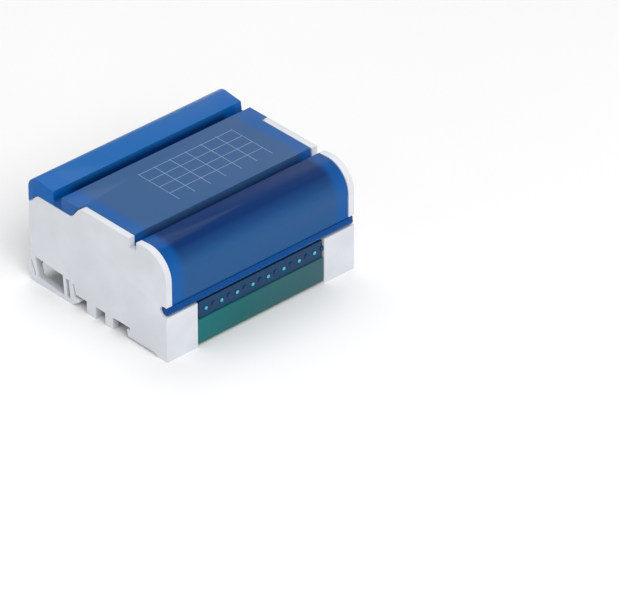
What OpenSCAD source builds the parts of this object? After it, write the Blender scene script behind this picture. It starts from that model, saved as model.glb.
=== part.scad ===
// Four-pole power distribution block for a 35 mm top-hat rail.
// Four stepped brass bars sit in insulating trays between two moulded end caps,
// under a translucent cover that swings forward about its front lip.
// X runs along the bars, the front is -Y, +Z is up and the feet stand on Z = 0.

/* [Terminals] */
// Distance between neighbouring terminals along a bar
pitch = 9; // [8.8:0.05:9.4]
// Radius of the wire bores in the bars
wire_r = 3.25; // [2.8:0.05:3.3]
// Radius of the terminal screws' threads
terminal_r = 2.5; // [2.2:0.05:2.6]
// Radius of the terminal screws' heads
head_r = 3.3; // [3:0.05:3.5]
// Height of the terminal screws' heads
head_h = 2.4; // [2:0.05:2.6]
// Radius of the fixing screws' threads
fixing_r = 2; // [1.7:0.05:2.1]
// Radius of the fixing screws' heads
fixing_head_r = 3.5; // [3:0.05:3.6]
// Depth of the fixing screws in the bars
fixing_depth = 7; // [5:0.1:9]

/* [Bars and trays] */
// Width of a bar, across the wire bores
bar_w = 9; // [8.6:0.05:9.1]
// Height of a bar
bar_h = 11; // [10.4:0.05:11.2]
// Depth of the wire bores' axis below a bar's top
bore_depth = 6.3; // [6.1:0.05:6.6]
// Thickness of the trays' walls
tray_t = 1.4; // [1.2:0.05:1.45]
// Lean of the two middle rows from the vertical
row_lean = 25; // [23:0.5:27]
// Distance of the back row behind the front face of the back panel
back_row_in = 8.5; // [8.5:0.05:9]
// Distance of the front row behind the block's front face
front_row_in = 11; // [10.9:0.05:11.4]
// Place of the upper middle row along Y
upper_row_y = 12.5; // [12:0.1:13]
// Place of the lower middle row along Y
lower_row_y = -13; // [-13.5:0.1:-12.5]
// Height of the back row's bar top
back_row_z = 42.6; // [42:0.1:42.8]
// Height of the upper middle row's bar top
upper_row_z = 38.8; // [38.4:0.1:39.2]
// Height of the lower middle row's bar top
lower_row_z = 36.3; // [36:0.1:36.8]
// Height of the front row's bar top
front_row_z = 21.8; // [21.6:0.05:21.9]

/* [End caps] */
// Depth of the block from front to back
block_d = 89; // [88.8:0.1:90.4]
// Thickness of the end caps' plates
plate_t = 3.2; // [2.8:0.1:3.6]
// Room between the last terminal's pitch and the plate
end_room = 1.7; // [1.6:0.05:2.2]
// Height of the front flanges
flange_h = 22.5; // [22.3:0.05:22.6]
// Width of the front flanges
flange_w = 17.6; // [16.8:0.1:18]
// Thickness of the front flanges
flange_t = 1.7; // [1.65:0.05:1.9]
// Thickness of the shelves that the fixing screws clamp
shelf_t = 2; // [1.6:0.05:2.2]
// Height of the caps' lowered edge at the back
low_edge_z = 45.3; // [44.8:0.1:45.8]
// Height of the caps' back corner
back_corner_z = 40.4; // [39.8:0.1:40.8]

/* [Rail foot] */
// Width of the top-hat rail
rail_w = 35; // [34.7:0.05:35.2]
// Height of the rail's seat above the feet
seat_z = 6.2; // [6:0.05:6.4]
// Place of the rail's middle along Y
rail_y = -3.1; // [-3.4:0.1:-2.9]
// Reach of the hooks under the rail's edges
hook_reach = 2; // [1.7:0.05:2.2]
// Height of the rail slot in the hooks
slot_h = 1.5; // [1.3:0.05:1.7]

/* [Cover] */
// Height of the cover's flat top
cover_h = 52; // [51.8:0.1:53]
// Thickness of the cover's wall
cover_t = 1.6; // [1.4:0.05:1.8]
// Rise of the back ridge above the flat top
ridge_rise = 1.6; // [1.2:0.05:2]
// Radius of the ridge's back edge
ridge_r = 6; // [5:0.1:6.5]
// Radius of the front shoulder
shoulder_r = 13; // [12:0.1:13.5]
// Depth of the groove behind the flat top
back_groove = 3.8; // [3.4:0.05:4]
// Depth of the groove in front of the flat top
front_groove = 5.2; // [4.8:0.05:5.4]
// Radius of the lip that the cover turns on
lip_r = 2.25; // [2.1:0.01:2.26]
// Distance of the ends of the lip from the caps' outer faces
lip_inset = 1.1; // [0.8:0.05:1.6]

/* [Green plates] */
// Thickness of the green plates
green_t = 1.5; // [1.3:0.05:1.55]
// Height of the front panel's lower edge
panel_z = 1.3; // [1:0.1:1.6]
// Height of the front panel's upper edge
panel_top = 13.4; // [13:0.1:13.8]
// Height of the top of the raised floor
floor_z = 18.5; // [18:0.1:18.8]

/* [Fits] */
// Gap between the cover and the pieces beside it
cover_gap = 0.3; // [0.25:0.01:0.4]
// Gap between pieces that are assembled and stay put
seat_gap = 0.1; // [0.05:0.01:0.15]
// Gap between a bar and its tray
bar_gap = 0.15; // [0.1:0.01:0.2]
// Radial gap of a screw in its thread
thread_gap = 0.05; // [0.04:0.01:0.08]
// Radial gap of a fixing screw in its shelf
shelf_gap = 0.2; // [0.15:0.01:0.3]

/* [Hidden] */

// Colours
white = [0.86, 0.88, 0.91];
blue = [0.05, 0.36, 0.68, 0.75];
tray_blue = [0.02, 0.40, 0.60, 0.75];
green = [0.02, 0.55, 0.50, 0.8];
brass = [0.78, 0.65, 0.40];
nickel = [0.85, 0.72, 0.66];
gold = [0.86, 0.66, 0.36];

// Along X
ends = 5;
cap_in = (ends + 0.5) * pitch + end_room;
cap_out = cap_in + plate_t;
bar_end_cut = 0.2;
bar_half = (ends + 0.5) * pitch - bar_end_cut;
socket_depth = 1.7;
tray_half = bar_half - socket_depth;
shelf_in = (ends - 0.5) * pitch;
lip_half = cap_out - lip_inset;
cover_half = cap_in - cover_gap;

// Across Y
front_y = -block_d / 2;
back_y = block_d / 2;
row_y = [back_y - back_row_in, upper_row_y, lower_row_y, front_y + front_row_in];
row_z = [back_row_z, upper_row_z, lower_row_z, front_row_z];
row_tilt = [0, row_lean, row_lean, 0];

// Terminals of each row, and how far each screw stands open
full_row = [for (i = [-ends : ends]) i];
short_row = [for (i = [1 - ends : ends - 1]) i];
row_slots = [short_row, full_row, full_row, short_row];
turn = 0.1;
row_turns = [[3, 9, 7, 8, 6, 3, 0, 0, 2],
             [0, 4, 2, 3, 0, 1, 2, 1, 2, 3, 0],
             [1, 3, 4, 3, 1, 4, 3, 0, 0, 2, 4],
             [0, 14, 6, 24, 16, 5, 0, 8, 1]];

// Bars, trays and screws, in the section of a row: v points to the front, w up the screws
bar_chamfer = 0.5;
tray_in = bar_w / 2 + bar_gap;
tray_out = tray_in + tray_t;
tray_floor = -bar_h - bar_gap - tray_t;
front_wall_w = 0.6;
back_wall_w = 2;
low_back_w = -1.4;
rib_w = 1.6;
rib_end = bar_half - seat_gap;
collar_h = 0.7;
collar_t = 0.75;
entry_r = wire_r + 0.25;
collar_room = entry_r + collar_t + seat_gap;
shank_w = wire_r - bore_depth + 0.3;
recess_w = 0.9;
recess_l = 3.9;
recess_h = 1.1;
slot_l = 5.2;
head_edge = 0.5;
fixing_head_h = 2.3;
fixing_bore = fixing_depth + 1;

// Caps: the plate's top edge
shoulder_top = cover_h + 0.3;
shoulder_back = -25.6;
shoulder_drop = 0.4;
arc_y = front_y + shoulder_r;
arc_z = shoulder_top - shoulder_r;
rim_front = -21;
rim_back = 9.4;
groove_floor = cover_h - front_groove + 0.2;
slope_l = 8;
corner_l = 6.9;
arc_steps = 12;
slope_steps = 8;
inner_edge = cap_in + 1;

// Caps: the rail foot and the feet
hook_y = rail_y - rail_w / 2;
latch_y = rail_y + rail_w / 2;
foot_z = 1.3;
foot_step_y = front_y + 7.5;
nose_z = seat_z - slot_h;
latch_wall = latch_y + 0.9;
slit_w = 0.8;
slit_top = 10.9;
foot_back = back_y - 0.6;
tab_reach = 2.3;
tab_z = 7.9;
tab_t = 2.2;
tab_gap = 0.7;
tab_root_z = 3.4;
back_foot_z = 12.6;
leg_l = 6.5;
leg1 = [1.6, 7.5];
leg2 = [-9.5, -4.5];

// Hinge line of the cover
axis_y = front_y + 1.8;
axis_z = flange_h + 2.6;
notch_r = lip_r + cover_gap;
lip_front = axis_y - lip_r + 0.2;
lip_top = axis_z + lip_r;

middle_y = (back_y + tab_reach + axis_y - lip_r) / 2;

// Cover outline
ridge_top = cover_h + ridge_rise;
ridge_front = 28.2;
ridge_slope = 1.2;
ridge_foot = 27.6;
plateau_back = 22.3;
plateau_foot = 22.9;
plateau_front = -20.4;
step_foot = -20.9;
shoulder_foot = -25.3;

// Sockets, ledges and recesses inside the caps
socket_w = -1.2;
guide_v = 8;
guide_w = [-14, 0.6];
pillar_foot = 2.5;
hump_r = 5;
hump_y = 35;
hump_in = 1;
rail_rib = [1.6, 17.5];
rib_t = 1.6;
pocket_depth = 1.2;
ledge_t = 1.3;
ledge_w = 3;

// Front row: hanging strip, top rib and its dots
strip_half = cap_out - flange_w - 1.2;
strip_y = front_y + 0.8;
strip_z = panel_top + 0.2;
strip_top = flange_h - 0.5;
rib4_v = tray_out + 1.35;
rib4_top = front_wall_w + 0.9;
rib4_half = shelf_in + 6;
dot_r = 1.1;
dot_h = 0.35;
dot_z = (strip_z + strip_top) / 2;

// Green plates
panel_half = cap_out - flange_w - 0.4;
panel_y = front_y + seat_gap;
panel_in = panel_y + green_t;
low_floor_z = seat_z + ledge_t + green_t;
riser_y = -11;
back_panel_y = back_y - 0.2;
back_panel_in = back_panel_y - green_t;
back_panel_z = [6.8, floor_z + 0.6];

eps = 0.01;
$fn = 40;

// A piece in its colour, with the whole block's outer box centred on Y = 0
module piece(tint) {
    color(tint) translate([0, -middle_y, 0]) children();
}

// Points on an arc about (y, z), from angle a to angle b
function arc(y, z, r, a, b, n = arc_steps) =
    [for (i = [0 : n]) let (t = a + (b - a) * i / n) [y + r * cos(t), z + r * sin(t)]];

// A smooth S-shaped fall from (y, z), over length l and drop h
function fall(y, z, l, h, n = slope_steps) =
    [for (i = [0 : n]) [y + l * i / n, z - h * (1 - cos(180 * i / n)) / 2]];

// The plate's edge from the flat rim down to the lowered edge and the back corner
function low_edge(lift = 0, shift = 0) = concat(
    fall(rim_back + shift, cover_h + lift, slope_l, cover_h - low_edge_z),
    fall(back_y - corner_l + shift, low_edge_z + lift, corner_l, low_edge_z - back_corner_z));

// Outline of a cap's plate
cap_outline = concat(
    [[front_y, 0]],
    arc(arc_y, arc_z, shoulder_r, 180, 90),
    [[shoulder_back, shoulder_top - shoulder_drop],
     [shoulder_back, groove_floor],
     [rim_front, groove_floor],
     [rim_front, cover_h]],
    low_edge(),
    [[back_y, back_foot_z],
     [back_y - 3.1 - tab_gap, tab_root_z],
     [back_y - 3.1, tab_root_z],
     [back_y, back_foot_z - 2.6],
     [back_y + tab_reach, tab_z],
     [foot_back, 0],
     [latch_wall + 1.9, 0],
     [latch_y - hook_reach, nose_z - 1.6],
     [latch_y - hook_reach, nose_z],
     [latch_wall, nose_z],
     [latch_wall + 1.2, slit_top],
     [latch_wall + 1.2 - slit_w, slit_top],
     [latch_wall - slit_w, seat_z],
     [hook_y, seat_z],
     [hook_y, nose_z],
     [hook_y + hook_reach, nose_z],
     [hook_y + hook_reach - 0.6, foot_z],
     [foot_step_y, foot_z],
     [foot_step_y - 1.7, 0]]);

// Outer surface of the cover, moved in by d, from the back wall's foot to the skirt's foot
function cover_outline(d = 0) = concat(
    [[back_y - d, back_corner_z + cover_gap]],
    arc(back_y - ridge_r, ridge_top - ridge_r, ridge_r - d, 0, 90),
    [[ridge_front + d, ridge_top - ridge_slope - d],
     [ridge_foot + d, cover_h - back_groove - d],
     [plateau_foot - d, cover_h - back_groove - d],
     [plateau_back - d, cover_h - d],
     [plateau_front + d, cover_h - d],
     [step_foot + d, cover_h - front_groove - d],
     [shoulder_foot - d, cover_h - front_groove - d],
     [shoulder_back - d, shoulder_top - shoulder_drop - d]],
    arc(arc_y, arc_z, shoulder_r - cover_gap - d, 90, 180),
    [[front_y + cover_gap + d, axis_z]]);

// Extrudes a section drawn in (y, z) along X, from x0 to x1
module along_x(x0, x1) {
    translate([x0, 0, 0]) rotate([90, 0, 90]) linear_extrude(x1 - x0) children();
}

// A box given by its lowest and highest corners
module box(a, b) {
    translate(a) cube(b - a);
}

// A cylinder along X about the point (y, z)
module rod_x(y, z, r, x0, x1) {
    translate([x0, y, z]) rotate([0, 90, 0]) cylinder(r = r, h = x1 - x0);
}

// Puts a row's section in place: children are drawn with -Y to the front and Z up the screws
module at_row(i) {
    translate([0, row_y[i], row_z[i]]) rotate([-row_tilt[i], 0, 0]) children();
}

// The plate of a cap, at +X
module plate() {
    along_x(cap_in, cap_out) polygon(cap_outline);
}

// Windows of the latch foot, through the plate
module foot_windows() {
    along_x(cap_in - 1, cap_out + 1) {
        polygon([[back_y - 5.3, tab_root_z + 0.2], [latch_wall + 6.9, 2.1],
                 [latch_wall + 7.8, 12.2], [back_y - 3.2, 13.2]]);
        polygon([[latch_wall + 5.2, 2.5], [latch_wall + 3, 2.5],
                 [latch_wall + 3.9, 11.5], [latch_wall + 5.9, 11.5]]);
    }
}

// The notch in the plate's front edge that holds the cover's lip
module lip_notch() {
    rod_x(axis_y, axis_z, notch_r, cap_in - 1, cap_out + 1);
    box([cap_in - 1, front_y - 2, axis_z - notch_r], [cap_out + 1, axis_y, axis_z + notch_r]);
}

// Front flange with the ledge along its top
module flange() {
    box([cap_out - flange_w, front_y, 0], [inner_edge, front_y + flange_t, flange_h]);
    box([cap_out - flange_w, front_y, flange_h - ledge_t],
        [inner_edge, row_y[3] - tray_out - seat_gap, flange_h]);
}

// Shelf over a bar's end, with a fixing hole and a pillar that reaches foot below the tray
module shelf(i, foot) {
    at_row(i) difference() {
        union() {
            box([shelf_in, seat_gap - tray_in, 0], [cap_in + eps, tray_in - seat_gap, shelf_t]);
            difference() {
                box([tray_half + seat_gap, -tray_out, tray_floor - foot],
                    [cap_in + eps, tray_out, eps]);
                box([tray_half, -tray_in, -bar_h - bar_gap], [bar_half + bar_gap, tray_in, 0]);
                box([tray_half, -tray_out - 1, low_back_w], [bar_half + bar_gap, -tray_in, 1]);
            }
        }
        translate([ends * pitch, 0, -eps]) cylinder(r = fixing_r + shelf_gap, h = shelf_t + 1);
    }
}

// Leaning socket for the end of a middle row, with the guide in front of it
module leaning_socket(i) {
    at_row(i) difference() {
        union() {
            box([tray_half + seat_gap, -tray_out - guide_v, guide_w[0]],
                [cap_in + eps, -tray_out, guide_w[1]]);
            box([tray_half + seat_gap, -tray_out - eps, tray_floor - pillar_foot],
                [cap_in + eps, tray_out, socket_w]);
        }
        box([tray_half, -tray_in, -bar_h - bar_gap], [bar_half + bar_gap, tray_in, 0]);
        box([tray_half, -tray_out - collar_h - seat_gap, -bore_depth - collar_room],
            [ends * pitch + collar_room, -tray_in, collar_room - bore_depth]);
    }
}

// Ledges on the plate's inner face, under the floor plate
module ledges() {
    box([cap_in - ledge_w, leg2[0], seat_z], [inner_edge, leg1[1] + 4, seat_z + ledge_t]);
    box([cap_in - ledge_w, front_y + flange_t, seat_z],
        [inner_edge, riser_y - 2, seat_z + ledge_t]);
    box([cap_in - ledge_w, riser_y + 4, floor_z - green_t - ledge_t - seat_gap],
        [inner_edge, back_panel_in - 2, floor_z - green_t - seat_gap]);
}

// Rounded wall that stands up inside the cover's end, and the rail beside it
module inner_wall() {
    difference() {
        rod_x(hump_y, low_edge_z, hump_r, cap_in - hump_in, inner_edge);
        box([cap_in - 2, hump_y - 10, low_edge_z - 10], [cap_out, hump_y + 10, low_edge_z - 3]);
    }
    along_x(cap_in - rib_t, inner_edge)
        polygon([[rail_rib[0], 46.2], [rail_rib[0], 47.8], [rail_rib[1] - 8.5, 48.6],
                 [rail_rib[1], 44.8], [rail_rib[1] - 1, 43.4]]);
}

// Shallow recess in the plate's inner face behind the cover's skirt
module clip_pocket() {
    along_x(cap_in - 1, cap_in + pocket_depth)
        polygon([[front_y + 5.6, 30.5], [front_y + 3.2, 31.5], [front_y + 4.1, 45.6],
                 [front_y + 6.4, 47.2]]);
}

module cap() {
    difference() {
        union() {
            plate();
            flange();
            ledges();
            inner_wall();
            shelf(0, pillar_foot);
            leaning_socket(1);
            leaning_socket(2);
            shelf(3, 0);
            box([cap_out - leg_l, leg1[0], 0], [cap_out, leg1[1], seat_z + 1]);
            box([cap_in, leg2[0], 0], [cap_out, leg2[1], seat_z + 1]);
        }
        foot_windows();
        lip_notch();
        clip_pocket();
    }
}

module left_cap() {
    piece(white) mirror([1, 0, 0]) cap();
}

module right_cap() {
    piece(white) cap();
}

// Stepped green floor: low under the front row, raised under the others
module floor_plate() {
    half = cap_in - seat_gap;
    low = low_floor_z - green_t + seat_gap;
    front = front_y + flange_t + seat_gap;
    back = back_panel_in - seat_gap;
    piece(green) along_x(-half, half)
        polygon([[front, low], [riser_y + green_t, low], [riser_y + green_t, floor_z - green_t],
                 [back, floor_z - green_t], [back, floor_z], [riser_y, floor_z],
                 [riser_y, low + green_t], [front, low + green_t]]);
}

// Green panel between the front flanges
module front_panel() {
    lip = 2.2;
    piece(green) along_x(-panel_half, panel_half)
        polygon([[panel_y, panel_z], [panel_in, panel_z], [panel_in, panel_top - green_t],
                 [panel_in + lip, panel_top - green_t], [panel_in + lip, panel_top],
                 [panel_y, panel_top]]);
}

module back_panel() {
    half = cap_in - seat_gap;
    piece(green)
        box([-half, back_panel_in, back_panel_z[0]], [half, back_panel_y, back_panel_z[1]]);
}

// Channel that insulates a bar: holes through the wall on the wire side
module tray(i, back_w, wire_side) {
    wall_v = wire_side * tray_out;
    difference() {
        union() {
            along_x(-tray_half, tray_half)
                polygon([[-tray_out, front_wall_w], [-tray_out, tray_floor],
                         [tray_out, tray_floor], [tray_out, back_w], [tray_in, back_w],
                         [tray_in, tray_floor + tray_t], [-tray_in, tray_floor + tray_t],
                         [-tray_in, front_wall_w]]);
            for (k = row_slots[i]) translate([k * pitch, wall_v, -bore_depth])
                rotate([-90 * wire_side, 0, 0]) translate([0, 0, -tray_t / 2])
                    cylinder(r = entry_r + collar_t, h = collar_h + tray_t / 2);
        }
        for (k = row_slots[i]) translate([k * pitch, 0, -bore_depth])
            rotate([-90 * wire_side, 0, 0]) cylinder(r = entry_r, h = tray_out + 2);
    }
}

// Small rib along the top of a tray's front wall, held in the caps at its ends
module tray_rib() {
    box([-rib_end, -tray_out, front_wall_w - rib_w], [rib_end, -tray_in, front_wall_w]);
}

module row1_tray() {
    piece(tray_blue) at_row(0) {
        tray(0, front_wall_w, -1);
        tray_rib();
    }
}

// The middle trays end in a gutter lip at the foot of the front wall
module leaning_tray(i) {
    lip = 1.5;
    piece(tray_blue) at_row(i) {
        tray(i, back_wall_w, -1);
        box([-tray_half, -tray_out - lip, tray_floor], [tray_half, -tray_out, tray_floor + tray_t]);
    }
}

module row2_tray() {
    leaning_tray(1);
}

module row3_tray() {
    leaning_tray(2);
}

// The front tray carries the strip that hangs between the caps' flanges
module row4_tray() {
    wall_y = row_y[3] - tray_out;
    piece(tray_blue) {
        at_row(3) {
            tray(3, front_wall_w, 1);
            box([-rib4_half, -rib4_v, front_wall_w + seat_gap], [rib4_half, -tray_in, rib4_top]);
            box([-tray_half, -tray_out, 0], [tray_half, -tray_in, front_wall_w + 2 * seat_gap]);
        }
        box([-strip_half, strip_y, strip_top - tray_t], [strip_half, wall_y + eps, strip_top]);
        box([-strip_half, strip_y, strip_z], [strip_half, strip_y + tray_t, strip_top]);
        for (k = [0.5 - ends : ends - 1.5]) translate([(k + 0.5) * pitch, strip_y, dot_z])
            rotate([90, 0, 0]) translate([0, 0, -tray_t / 2])
                cylinder(r = dot_r, h = dot_h + tray_t / 2);
    }
}

// Brass bar with a wire bore and a tapped hole at each terminal
module bar(i, fixed) {
    c = bar_chamfer;
    v = bar_w / 2;
    piece(brass) at_row(i) difference() {
        along_x(-bar_half, bar_half)
            polygon([[-v, -c], [-v, c - bar_h], [c - v, -bar_h], [v - c, -bar_h],
                     [v, c - bar_h], [v, -c], [v - c, 0], [c - v, 0]]);
        for (k = row_slots[i]) translate([k * pitch, 0, -bore_depth]) {
            rotate([90, 0, 0]) cylinder(r = wire_r, h = bar_w + 2, center = true);
            cylinder(r = terminal_r + thread_gap, h = bore_depth + 1);
        }
        if (fixed) for (s = [-1, 1]) translate([s * ends * pitch, 0, -fixing_bore])
            cylinder(r = fixing_r + thread_gap, h = fixing_bore + 1);
    }
}

module row1_bar() {
    bar(0, true);
}

module row2_bar() {
    bar(1, false);
}

module row3_bar() {
    bar(2, false);
}

module row4_bar() {
    bar(3, true);
}

// Screw with a slotted cross recess, head seated on Z = 0, shank down to Z = -l
module screw(r, hr, hh, l) {
    difference() {
        union() {
            translate([0, 0, -l]) cylinder(r = r, h = l + eps);
            cylinder(r = hr, h = hh - head_edge);
            translate([0, 0, hh - head_edge]) cylinder(r1 = hr, r2 = hr - head_edge, h = head_edge);
        }
        translate([0, 0, hh]) {
            cube([recess_w, recess_l, 2 * recess_h], center = true);
            cube([slot_l, recess_w, 2 * recess_h], center = true);
        }
    }
}

// Terminal screws of a row, each standing open by its own turns
module terminal_screws(i) {
    piece(nickel) at_row(i) for (n = [0 : len(row_slots[i]) - 1])
        let (open = row_turns[i][n] * turn, angle = 37 * n + 23 * i)
            translate([row_slots[i][n] * pitch, 0, open])
                rotate([0, 0, angle]) screw(terminal_r, head_r, head_h, open - shank_w);
}

module row1_screws() {
    terminal_screws(0);
}

module row2_screws() {
    terminal_screws(1);
}

module row3_screws() {
    terminal_screws(2);
}

module row4_screws() {
    terminal_screws(3);
}

// The two screws that hold one cap to the back bar and the front bar
module fixing_screws(side) {
    piece(gold) for (i = [0, 3]) at_row(i)
        translate([side * ends * pitch, 0, shelf_t]) rotate([0, 0, 30 + 25 * i])
            screw(fixing_r, fixing_head_r, fixing_head_h, shelf_t + fixing_depth);
}

module left_fixing_screws() {
    fixing_screws(-1);
}

module right_fixing_screws() {
    fixing_screws(1);
}

// Section of the cover's shell
module cover_section() {
    outer = cover_outline();
    inner = cover_outline(cover_t);
    n = len(inner);
    polygon(concat(outer, [for (i = [n - 1 : -1 : 0]) inner[i]]));
}

// Everything inside the cover's outline and above the caps' lowered edge
module over_low_edge() {
    high = cover_h + 20;
    polygon(concat(
        [[rim_back + cover_gap, high]],
        low_edge(cover_gap, cover_gap),
        [[back_y + 5, back_corner_z + cover_gap], [back_y + 5, high]]));
}

module cover() {
    piece(blue) {
        along_x(-cover_half, cover_half) cover_section();
        along_x(-cap_out, cap_out) intersection() {
            cover_section();
            over_low_edge();
        }
        for (s = [-1, 1]) along_x(s * cap_out - (s + 1) / 2 * cover_t,
                                  s * cap_out - (s - 1) / 2 * cover_t)
            intersection() {
                polygon(cover_outline());
                over_low_edge();
            }
        rod_x(axis_y, axis_z, lip_r, -lip_half, lip_half);
        box([-lip_half, lip_front, axis_z], [lip_half, axis_y, lip_top]);
    }
}

left_cap();
right_cap();
floor_plate();
front_panel();
back_panel();
row1_tray();
row2_tray();
row3_tray();
row4_tray();
row1_bar();
row2_bar();
row3_bar();
row4_bar();
row1_screws();
row2_screws();
row3_screws();
row4_screws();
left_fixing_screws();
right_fixing_screws();
cover();
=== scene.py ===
"""Looks for the power distribution block: materials, printed grid, camera, lights and floor."""
import math
import bmesh
import bpy
from mathutils import Matrix, Vector


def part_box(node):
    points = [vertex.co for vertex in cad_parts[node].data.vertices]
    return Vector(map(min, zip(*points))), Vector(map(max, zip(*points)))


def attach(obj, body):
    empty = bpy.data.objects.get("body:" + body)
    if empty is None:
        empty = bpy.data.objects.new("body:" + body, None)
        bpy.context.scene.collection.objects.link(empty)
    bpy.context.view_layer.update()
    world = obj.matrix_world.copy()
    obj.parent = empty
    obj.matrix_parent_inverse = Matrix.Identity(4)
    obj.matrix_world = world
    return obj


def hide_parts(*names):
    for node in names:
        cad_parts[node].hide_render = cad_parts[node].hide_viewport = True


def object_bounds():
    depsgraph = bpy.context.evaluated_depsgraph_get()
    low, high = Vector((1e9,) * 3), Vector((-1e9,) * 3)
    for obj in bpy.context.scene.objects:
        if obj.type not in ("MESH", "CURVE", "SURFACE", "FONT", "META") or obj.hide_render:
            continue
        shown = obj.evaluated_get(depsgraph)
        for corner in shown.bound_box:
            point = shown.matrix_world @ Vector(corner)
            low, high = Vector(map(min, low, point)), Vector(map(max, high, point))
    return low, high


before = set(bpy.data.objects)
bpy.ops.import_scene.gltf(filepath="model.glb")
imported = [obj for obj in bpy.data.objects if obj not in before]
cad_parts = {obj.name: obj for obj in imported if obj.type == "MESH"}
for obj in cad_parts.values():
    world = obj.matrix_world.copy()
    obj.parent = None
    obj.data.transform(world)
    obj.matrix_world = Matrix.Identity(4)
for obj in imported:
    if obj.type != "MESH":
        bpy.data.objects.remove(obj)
cad_bounds = [list(corner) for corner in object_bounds()]
MM = 0.001
MIDDLE = 0.925 * MM  # the end caps' middle lies this far in front of the frame's origin


# ---------------------------------------------------------------- colours and nodes

def linear(r, g, b):
    """A colour written as 0-255 screen values, in Blender's linear values."""
    def one(v):
        v = v / 255
        return v / 12.92 if v <= 0.04045 else ((v + 0.055) / 1.055) ** 2.4
    return (one(r), one(g), one(b), 1.0)


class Shader:
    """A node material with one Principled shader and short calls for its other nodes."""

    def __init__(self, name, **sockets):
        self.material = bpy.data.materials.new(name)
        self.material.use_nodes = True
        self.tree = self.material.node_tree
        self.principled = self.tree.nodes["Principled BSDF"]
        for key, value in sockets.items():
            self.principled.inputs[key.replace("_", " ")].default_value = value
        self.place = self.add("ShaderNodeTexCoord").outputs["Object"]

    def add(self, kind, **settings):
        node = self.tree.nodes.new(kind)
        for key, value in settings.items():
            setattr(node, key, value)
        return node

    def link(self, source, target):
        self.tree.links.new(source, target)

    def math(self, operation, a, b=0.0):
        node = self.add("ShaderNodeMath", operation=operation)
        for socket, value in zip(node.inputs, (a, b)):
            if isinstance(value, (int, float)):
                socket.default_value = value
            else:
                self.link(value, socket)
        return node.outputs[0]

    def axis(self, name):
        split = self.add("ShaderNodeSeparateXYZ")
        self.link(self.place, split.inputs[0])
        return split.outputs[name]

    def noise(self, scale, detail=4.0, stretch=(1, 1, 1)):
        mapping = self.add("ShaderNodeMapping")
        mapping.inputs["Scale"].default_value = stretch
        self.link(self.place, mapping.inputs["Vector"])
        node = self.add("ShaderNodeTexNoise")
        node.inputs["Scale"].default_value = scale
        node.inputs["Detail"].default_value = detail
        self.link(mapping.outputs[0], node.inputs["Vector"])
        return node.outputs["Fac"]

    def ramp(self, factor, stops):
        node = self.add("ShaderNodeValToRGB")
        elements = node.color_ramp.elements
        while len(elements) < len(stops):
            elements.new(0.5)
        for element, (position, colour) in zip(elements, stops):
            element.position = position
            element.color = colour
        self.link(factor, node.inputs[0])
        return node.outputs["Color"]

    def mix(self, factor, a, b):
        node = self.add("ShaderNodeMix", data_type="RGBA")
        for socket, value in zip((node.inputs[0], node.inputs[6], node.inputs[7]), (factor, a, b)):
            if isinstance(value, (int, float, tuple)):
                socket.default_value = value
            else:
                self.link(value, socket)
        return node.outputs[2]

    def bump(self, height, strength, distance):
        node = self.add("ShaderNodeBump")
        node.inputs["Strength"].default_value = strength
        node.inputs["Distance"].default_value = distance
        self.link(height, node.inputs["Height"])
        self.link(node.outputs[0], self.principled.inputs["Normal"])

    def roughness(self, factor, low, high):
        node = self.add("ShaderNodeMapRange")
        node.inputs["To Min"].default_value = low
        node.inputs["To Max"].default_value = high
        self.link(factor, node.inputs["Value"])
        self.link(node.outputs[0], self.principled.inputs["Roughness"])

    def colour(self, source):
        self.link(source, self.principled.inputs["Base Color"])


def varied(colour, share):
    """Two colours a little below and above the given one."""
    low = tuple(c * (1 - share) for c in colour[:3]) + (1.0,)
    high = tuple(min(1.0, c * (1 + share)) for c in colour[:3]) + (1.0,)
    return low, high


def moulded(name, colour, rough, grain=0.06, **sockets):
    """Moulded plastic: slight mottling and a fine spark-eroded grain."""
    shader = Shader(name, **sockets)
    mottle = shader.noise(60, 3)
    low, high = varied(colour, 0.04)
    shader.colour(shader.ramp(mottle, [(0.35, low), (0.65, high)]))
    shader.roughness(mottle, rough - 0.05, rough + 0.05)
    shader.bump(shader.noise(2600, 2), grain, 0.02 * MM)
    return shader


def metal(name, colour, rough, stretch):
    """Bare or plated metal with fine drawn lines and light tarnish."""
    shader = Shader(name, Metallic=1.0)
    lines = shader.noise(900, 5, stretch)
    tarnish = shader.noise(140, 4)
    low, high = varied(colour, 0.12)
    shader.colour(shader.ramp(tarnish, [(0.35, low), (0.65, high)]))
    shader.roughness(lines, rough - 0.08, rough + 0.12)
    shader.bump(lines, 0.15, 0.02 * MM)
    return shader


# ---------------------------------------------------------------- materials

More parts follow.
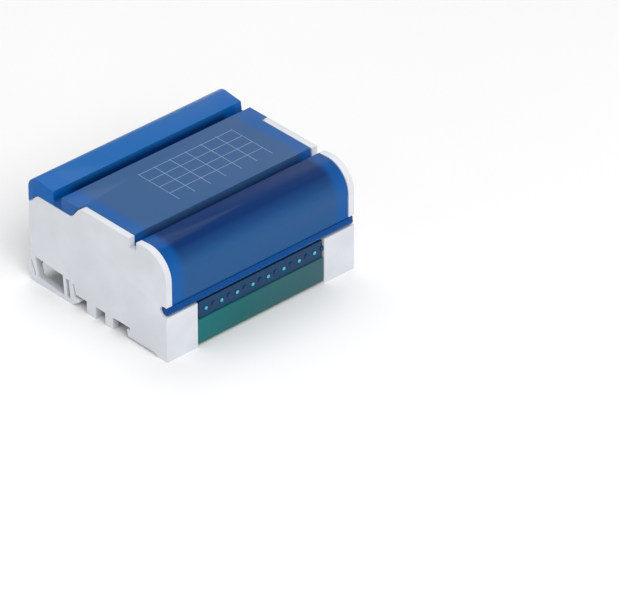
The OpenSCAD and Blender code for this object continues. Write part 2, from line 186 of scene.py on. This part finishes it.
def cover_shader():
    """Clear tinted cover with painted light and shade: painted light over the ridge and near the ends,
    painted shade on the front shoulder and in the grooves, with a ruled grid printed on its flat top.
    """
    shader = Shader("cover_tinted", Alpha=0.92, IOR=1.5, Specular_IOR_Level=0.1)
    half = 45 * MM
    along = shader.math("DIVIDE", shader.math("ADD", shader.axis("Y"), half + MIDDLE), 2 * half)

    def stop(y, colour):
        return (y * MM + half) / (2 * half), linear(*colour)

    skirt, shoulder_shade, groove = (42, 90, 144), (0, 48, 106), (2, 34, 90)
    flat, ridge = (58, 96, 144), (28, 104, 178)
    # From the skirt at the front, over the shoulder, front groove, flat top and back groove, to the ridge;
    # these bands are painted light and shade on one blue: painted shade on the shoulder and in both grooves,
    # painted light on the ridge
    tint_with_painted_light = shader.ramp(along, [
        stop(-44.6, skirt), stop(-43.6, skirt), stop(-41.5, (26, 72, 128)), stop(-38, shoulder_shade),
        stop(-26, shoulder_shade), stop(-25.6, groove), stop(-20.9, groove), stop(-20.4, flat),
        stop(22.3, flat), stop(22.7, groove), stop(27.7, groove), stop(28.2, ridge)])
    # Painted light: the cover turns a brighter blue from 42 to 47 mm off the middle, towards both ends.
    near_end = shader.add("ShaderNodeMapRange", interpolation_type="SMOOTHSTEP")
    near_end.inputs["From Min"].default_value = 42 * MM
    near_end.inputs["From Max"].default_value = 47 * MM
    near_end.inputs["To Max"].default_value = 0.55
    shader.link(shader.math("ABSOLUTE", shader.axis("X")), near_end.inputs["Value"])
    tint_with_painted_light = shader.mix(near_end.outputs[0], tint_with_painted_light, linear(0, 98, 184))
    # Below 27.5 mm, on the lip, the colour is set to a deeper blue.
    at_lip = shader.math("LESS_THAN", shader.axis("Z"), 27.5 * MM)
    tint_with_painted_light = shader.mix(at_lip, tint_with_painted_light, linear(0, 74, 144))
    grid = shader.add("ShaderNodeTexBrick", offset=0.0)
    grid.inputs["Scale"].default_value = 1.0
    grid.inputs["Brick Width"].default_value = 9 * MM
    grid.inputs["Row Height"].default_value = 6.6 * MM
    grid.inputs["Mortar Size"].default_value = 0.16 * MM
    grid.inputs["Mortar Smooth"].default_value = 0.1
    shift = shader.add("ShaderNodeMapping")
    shift.inputs["Location"].default_value = (0.0, 0.4 * MM, 0.0)
    shader.link(shader.place, shift.inputs["Vector"])
    shader.link(shift.outputs[0], grid.inputs["Vector"])
    from_grid = shader.math("ADD", shader.axis("X"), -9.0 * MM)
    on_x = shader.math("LESS_THAN", shader.math("ABSOLUTE", from_grid), 27.1 * MM)
    on_y = shader.math("LESS_THAN", shader.math("ABSOLUTE", shader.axis("Y")), 13.4 * MM)
    on_top = shader.math("GREATER_THAN", shader.axis("Z"), 51.6 * MM)
    printed = shader.math("MULTIPLY", shader.math("MULTIPLY", on_x, on_y),
                          shader.math("MULTIPLY", on_top, grid.outputs["Fac"]))
    shader.colour(shader.mix(printed, tint_with_painted_light, linear(138, 164, 196)))
    soft = shader.noise(90, 3)
    shader.roughness(soft, 0.1, 0.18)
    shader.bump(soft, 0.05, 0.05 * MM)
    return shader


def green_shader():
    """Tinted green plate that greys slightly along its length; the greying is painted light, not the plate's
    own colour.
    """
    shader = Shader("panel_green", Alpha=0.94, Specular_IOR_Level=0.2)
    along = shader.math("DIVIDE", shader.math("ADD", shader.axis("X"), 50 * MM), 100 * MM)
    cloud = shader.math("MULTIPLY", shader.noise(40, 3), 0.2)
    # Painted light: the ramp along X makes the plate greener at the left end and greyer towards the right.
    shader.colour(shader.ramp(shader.math("ADD", along, cloud), [
        (0.1, linear(8, 120, 126)), (0.45, linear(26, 104, 106)), (0.95, linear(56, 98, 106))]))
    shader.roughness(cloud, 0.2, 0.3)
    return shader


materials = {
    "cap": moulded("cap_white", linear(218, 222, 228), 0.42),
    "green": green_shader(),
    "tray": moulded("tray_blue", linear(0, 76, 122), 0.25, 0.03, Alpha=0.92, Specular_IOR_Level=0.3),
    "front_tray": moulded("front_tray_blue", linear(4, 60, 100), 0.25, 0.03, Alpha=0.92,
                          Specular_IOR_Level=0.25),
    "bar": metal("bar_brass", linear(196, 172, 118), 0.34, (0.03, 1, 1)),
    "screw": metal("screw_nickel", linear(214, 186, 170), 0.3, (1, 1, 1)),
    "fixing": metal("screw_yellow", linear(216, 176, 104), 0.28, (1, 1, 1)),
    "cover": cover_shader(),
}


def kind_of(node):
    """Which material a CAD node takes."""
    if node.endswith("cap"):
        return "cap"
    if node in ("floor_plate", "front_panel", "back_panel"):
        return "green"
    if node == "row4_tray":
        return "front_tray"
    if node.endswith("tray"):
        return "tray"
    if node.endswith("bar"):
        return "bar"
    if "fixing" in node:
        return "fixing"
    return "screw" if node.endswith("screws") else "cover"


for node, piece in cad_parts.items():
    piece.data.materials.clear()
    piece.data.materials.append(materials[kind_of(node)].material)


# ---------------------------------------------------------------- softened edges


def softened(node, body, width):
    """Stands for a CAD node with its flat faces joined up and its sharp edges rounded."""
    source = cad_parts[node]
    name = node + "_softened"
    mesh = bpy.data.meshes.new(name)
    shape = bmesh.new()
    shape.from_mesh(source.data)
    bmesh.ops.remove_doubles(shape, verts=shape.verts, dist=0.002 * MM)
    bmesh.ops.dissolve_limit(shape, angle_limit=math.radians(0.5), verts=shape.verts, edges=shape.edges)
    shape.to_mesh(mesh)
    shape.free()
    mesh.materials.clear()
    mesh.materials.append(materials[kind_of(node)].material)
    mesh.polygons.foreach_set("use_smooth", [True] * len(mesh.polygons))
    piece = bpy.data.objects.new(name, mesh)
    bpy.context.scene.collection.objects.link(piece)
    bevel = piece.modifiers.new("edges", "BEVEL")
    bevel.width = width
    bevel.segments = 3
    bevel.limit_method = "ANGLE"
    bevel.angle_limit = math.radians(40)
    bevel.harden_normals = True
    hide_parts(node)
    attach(piece, body)


for cap in ("left_cap", "right_cap"):
    softened(cap, "base", 0.55 * MM)
softened("cover", "cover", 0.4 * MM)
softened("front_panel", "base", 0.25 * MM)


# ---------------------------------------------------------------- painted glints on the front strip

def dome(name, centre, radius, height, body, shader):
    """A low round dome that faces the front, with a crowned top; here it carries a painted glint."""
    mesh = bpy.data.meshes.new(name)
    shape = bmesh.new()
    bmesh.ops.create_uvsphere(shape, u_segments=24, v_segments=12, radius=radius)
    for vertex in shape.verts:
        vertex.co.z *= height / radius
    turn = Matrix.Rotation(math.radians(90), 4, "X")
    bmesh.ops.transform(shape, matrix=Matrix.Translation(centre) @ turn, verts=shape.verts)
    shape.to_mesh(mesh)
    shape.free()
    mesh.polygons.foreach_set("use_smooth", [True] * len(mesh.polygons))
    piece = bpy.data.objects.new(name, mesh)
    bpy.context.scene.collection.objects.link(piece)
    mesh.materials.append(shader.material)
    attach(piece, body)


GLINT_DOTS = 8
PITCH = 9 * MM
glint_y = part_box("row4_tray")[0][1] + 0.05 * MM
glint_z = 17.55 * MM
# Painted glints: each bright cyan dome at the screw pitch stands for a glint of light on the strip, not a
# coloured mark.
glint_shader = moulded("painted_glint_cyan", linear(70, 190, 214), 0.3, 0.02)
for k in range(GLINT_DOTS):
    centre = Vector(((k - (GLINT_DOTS - 1) / 2) * PITCH, glint_y, glint_z))
    dome(f"strip_painted_glint_{k + 1}", centre, 0.85 * MM, 0.3 * MM, "base", glint_shader)


# ---------------------------------------------------------------- camera, lights, floor

def place_camera(azimuth, elevation, distance, side, rise, lens):
    """Camera that looks at the object from the given direction; side and rise move it across its own view."""
    a, e = math.radians(azimuth), math.radians(elevation)
    back = Vector((math.sin(a) * math.cos(e), -math.cos(a) * math.cos(e), math.sin(e)))
    right = Vector((math.cos(a), math.sin(a), 0))
    up = back.cross(right)
    data = bpy.data.cameras.new("camera")
    data.lens = lens
    data.sensor_width = 36
    data.clip_end = 20
    camera = bpy.data.objects.new("camera", data)
    place = Vector((0, -MIDDLE, 0)) + right * side + up * rise + back * distance
    camera.matrix_world = Matrix.Translation(place) @ Matrix(
        (right, up, back)).transposed().to_4x4()
    bpy.context.scene.collection.objects.link(camera)
    bpy.context.scene.camera = camera


place_camera(-42.81, 33.48, 2.640, 50.82 * MM, -11.61 * MM, 353.0)


def area_light(name, place, size, power):
    """A soft square lamp at place that faces the object."""
    data = bpy.data.lights.new(name, "AREA")
    data.size = size
    data.energy = power
    lamp = bpy.data.objects.new(name, data)
    lamp.location = place
    lamp.rotation_euler = (Vector((0, 0, 0.02)) - place).to_track_quat("-Z", "Y").to_euler()
    bpy.context.scene.collection.objects.link(lamp)


area_light("key", Vector((-0.35, -1.0, 1.1)), 0.9, 11)
area_light("fill", Vector((-1.1, 0.2, 0.6)), 0.8, 1.0)
area_light("top", Vector((0.3, 0.5, 1.3)), 0.9, 5)


def seen_directly(tree):
    """1 for camera, glossy and transmitted rays, 0 for the light that falls on the object."""
    path = tree.nodes.new("ShaderNodeLightPath")
    value = path.outputs["Is Camera Ray"]
    for name in ("Is Glossy Ray", "Is Transmission Ray"):
        node = tree.nodes.new("ShaderNodeMath")
        node.operation = "MAXIMUM"
        tree.links.new(value, node.inputs[0])
        tree.links.new(path.outputs[name], node.inputs[1])
        value = node.outputs[0]
    return value


def white_world():
    world = bpy.data.worlds.new("white_room")
    bpy.context.scene.world = world
    world.use_nodes = True
    tree = world.node_tree
    soft = tree.nodes["Background"]
    soft.inputs[0].default_value = (1, 1, 1, 1)
    soft.inputs[1].default_value = 0.5
    white = tree.nodes.new("ShaderNodeBackground")
    white.inputs[0].default_value = (1, 1, 1, 1)
    white.inputs[1].default_value = 1.0
    mix = tree.nodes.new("ShaderNodeMixShader")
    tree.links.new(seen_directly(tree), mix.inputs[0])
    tree.links.new(soft.outputs[0], mix.inputs[1])
    tree.links.new(white.outputs[0], mix.inputs[2])
    tree.links.new(mix.outputs[0], tree.nodes["World Output"].inputs[0])


def pale_floor():
    mesh = bpy.data.meshes.new("floor")
    shape = bmesh.new()
    bmesh.ops.create_grid(shape, x_segments=8, y_segments=8, size=6)
    shape.to_mesh(mesh)
    shape.free()
    floor = bpy.data.objects.new("floor", mesh)
    floor.location.z = cad_bounds[0][2] - 0.02 * MM
    bpy.context.scene.collection.objects.link(floor)
    paint = Shader("floor_pale", Roughness=0.9)
    paint.colour(paint.ramp(paint.noise(3), [(0.4, (0.96, 0.96, 0.96, 1)), (0.6, (0.98, 0.98, 0.98, 1))]))
    mesh.materials.append(paint.material)


white_world()
pale_floor()
bpy.context.scene.view_settings.view_transform = "Standard"
